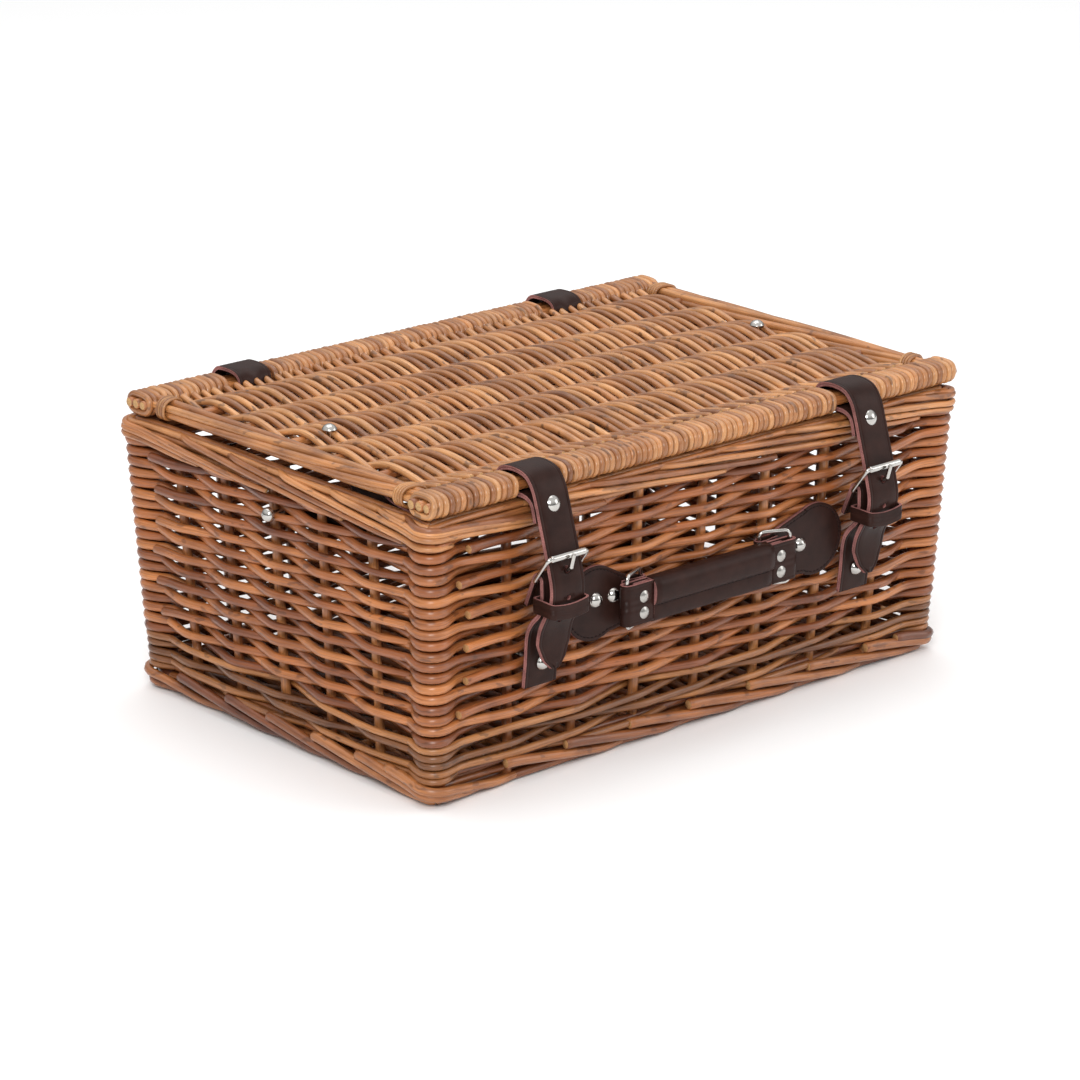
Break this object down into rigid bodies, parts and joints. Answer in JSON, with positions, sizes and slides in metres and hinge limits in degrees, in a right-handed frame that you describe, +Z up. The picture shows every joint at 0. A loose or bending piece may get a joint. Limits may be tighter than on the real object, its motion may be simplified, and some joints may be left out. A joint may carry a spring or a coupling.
{
  "type": "picnic basket",
  "caption": "Rectangular woven willow hamper with a hinged lid, buckled leather closing straps and a leather carrying handle.",
  "frame": {"origin": "centre of the bounding box at floor level", "axes": "+X along the long side, -Y is the front with the handle and buckles, +Z up"},
  "size_m": [0.4684, 0.3549, 0.208],
  "materials": {
    "wicker": "reddish-brown varnished willow rods",
    "pale_wicker": "golden tan varnished willow",
    "dark_wicker": "dark reddish willow",
    "leather": "smooth dark brown leather with paler cut edges",
    "metal": "polished nickel plate"
  },
  "bodies": {
    "basket": {"front_wall_weave": "wicker", "back_wall_weave": "wicker", "left_wall_weave": "wicker", "right_wall_weave": "wicker", "corner_posts": "dark_wicker", "wall_stakes": "pale_wicker", "base_weave": "wicker", "base_sticks": "pale_wicker", "foot_border_front": "wicker", "foot_border_back": "wicker", "foot_border_left": "wicker", "foot_border_right": "wicker", "rim_border_front": "pale_wicker", "rim_border_back": "pale_wicker", "rim_border_left": "pale_wicker", "rim_border_right": "pale_wicker", "left_lower_strap": "leather", "right_lower_strap": "leather", "lower_strap_rivets": "metal", "left_handle_patch": "leather", "right_handle_patch": "leather", "patch_rivets": "metal", "stay_wall_studs": "metal", "hinge_tabs": "leather", "hinge_rivets": "metal"},
    "lid": {"lid_weave": "pale_wicker", "lid_sticks": "pale_wicker", "lid_front_rods": "dark_wicker", "lid_back_rods": "dark_wicker", "lid_front_wrap": "pale_wicker", "lid_back_wrap": "pale_wicker", "lid_left_side_rods": "wicker", "lid_right_side_rods": "wicker", "lid_corner_ties": "pale_wicker", "stay_lid_studs": "metal", "hinge_loops": "leather"},
    "left_strap": {"left_upper_strap": "leather", "left_strap_rivet": "metal"},
    "right_strap": {"right_upper_strap": "leather", "right_strap_rivet": "metal"},
    "left_buckle_frame": {"left_buckle_frame": "metal"},
    "right_buckle_frame": {"right_buckle_frame": "metal"},
    "left_roller": {"left_roller": "metal"},
    "right_roller": {"right_roller": "metal"},
    "left_prong": {"left_prong": "metal"},
    "right_prong": {"right_prong": "metal"},
    "left_keeper": {"left_keeper": "leather"},
    "right_keeper": {"right_keeper": "leather"},
    "handle": {"handle_strap": "leather", "handle_grip": "leather", "handle_rivets": "metal"},
    "left_ring": {"left_ring": "metal"},
    "right_ring": {"right_ring": "metal"},
    "left_stay_lower": {"left_stay_lower": "leather"},
    "left_stay_upper": {"left_stay_upper": "leather"},
    "right_stay_lower": {"right_stay_lower": "leather"},
    "right_stay_upper": {"right_stay_upper": "leather"}
  },
  "joints": [
    {"name": "lid_hinge", "type": "hinge", "parent": "basket", "child": "lid", "pos_m": [0, 0.17233, 0.19], "axis": [-1, 0, 0], "range_deg": [0, 95]},
    {"name": "left_strap_swing", "type": "hinge", "parent": "lid", "child": "left_strap", "pos_m": [-0.14, -0.13267, 0.197], "axis": [-1, 0, 0], "range_deg": [-77, 0], "deforming": ["left_upper_strap"]},
    {"name": "left_buckle_turn", "type": "hinge", "parent": "basket", "child": "left_buckle_frame", "pos_m": [-0.14, -0.15718, 0.1395], "axis": [1, 0, 0], "range_deg": [0, 50]},
    {"name": "left_roller_spin", "type": "hinge", "parent": "left_buckle_frame", "child": "left_roller", "pos_m": [-0.14, -0.17058, 0.157], "axis": [1, 0, 0], "continuous": true},
    {"name": "left_prong_turn", "type": "hinge", "parent": "left_buckle_frame", "child": "left_prong", "pos_m": [-0.14, -0.15718, 0.1395], "axis": [1, 0, 0], "range_deg": [0, 45]},
    {"name": "left_keeper_slide", "type": "slide", "parent": "basket", "child": "left_keeper", "axis": [0, 0, 1], "range_m": [0, 0.003]},
    {"name": "right_strap_swing", "type": "hinge", "parent": "lid", "child": "right_strap", "pos_m": [0.136, -0.13267, 0.197], "axis": [-1, 0, 0], "range_deg": [-77, 0], "deforming": ["right_upper_strap"]},
    {"name": "right_buckle_turn", "type": "hinge", "parent": "basket", "child": "right_buckle_frame", "pos_m": [0.136, -0.15718, 0.1395], "axis": [1, 0, 0], "range_deg": [0, 50]},
    {"name": "right_roller_spin", "type": "hinge", "parent": "right_buckle_frame", "child": "right_roller", "pos_m": [0.136, -0.17058, 0.157], "axis": [1, 0, 0], "continuous": true},
    {"name": "right_prong_turn", "type": "hinge", "parent": "right_buckle_frame", "child": "right_prong", "pos_m": [0.136, -0.15718, 0.1395], "axis": [1, 0, 0], "range_deg": [0, 45]},
    {"name": "right_keeper_slide", "type": "slide", "parent": "basket", "child": "right_keeper", "axis": [0, 0, 1], "range_m": [0, 0.003]},
    {"name": "handle_pull", "type": "slide", "parent": "basket", "child": "handle", "axis": [0, -1, 0], "range_m": [0, 0.0055]},
    {"name": "left_ring_turn", "type": "hinge", "parent": "basket", "child": "left_ring", "pos_m": [-0.058, -0.14667, 0.106], "axis": [0, 0, 1], "range_deg": [0, 18]},
    {"name": "right_ring_turn", "type": "hinge", "parent": "basket", "child": "right_ring", "pos_m": [0.046, -0.14667, 0.106], "axis": [0, 0, -1], "range_deg": [0, 18]},
    {"name": "left_stay_lower_turn", "type": "hinge", "parent": "basket", "child": "left_stay_lower", "pos_m": [-0.208, 0.01183, 0.1576], "axis": [-1, 0, 0], "range_deg": [0, 126], "deforming": ["left_stay_lower"]},
    {"name": "left_stay_upper_turn", "type": "hinge", "parent": "left_stay_lower", "child": "left_stay_upper", "pos_m": [-0.208, -0.11602, 0.1718], "axis": [1, 0, 0], "range_deg": [0, 168], "deforming": ["left_stay_upper"]},
    {"name": "right_stay_lower_turn", "type": "hinge", "parent": "basket", "child": "right_stay_lower", "pos_m": [0.208, 0.01183, 0.1576], "axis": [-1, 0, 0], "range_deg": [0, 126], "deforming": ["right_stay_lower"]},
    {"name": "right_stay_upper_turn", "type": "hinge", "parent": "right_stay_lower", "child": "right_stay_upper", "pos_m": [0.208, -0.11602, 0.1718], "axis": [1, 0, 0], "range_deg": [0, 168], "deforming": ["right_stay_upper"]}
  ],
  "couplings": [
    {"joint": "left_strap_swing", "follows": "lid_hinge", "ratio": -0.8},
    {"joint": "right_strap_swing", "follows": "lid_hinge", "ratio": -0.8},
    {"joint": "left_ring_turn", "follows": "handle_pull", "rad_per_m": 56.911},
    {"joint": "right_ring_turn", "follows": "handle_pull", "rad_per_m": 56.911},
    {"joint": "left_stay_lower_turn", "follows": "lid_hinge", "ratio": 1.3176},
    {"joint": "left_stay_upper_turn", "follows": "lid_hinge", "ratio": 1.7613},
    {"joint": "right_stay_lower_turn", "follows": "lid_hinge", "ratio": 1.3176},
    {"joint": "right_stay_upper_turn", "follows": "lid_hinge", "ratio": 1.7613}
  ]
}
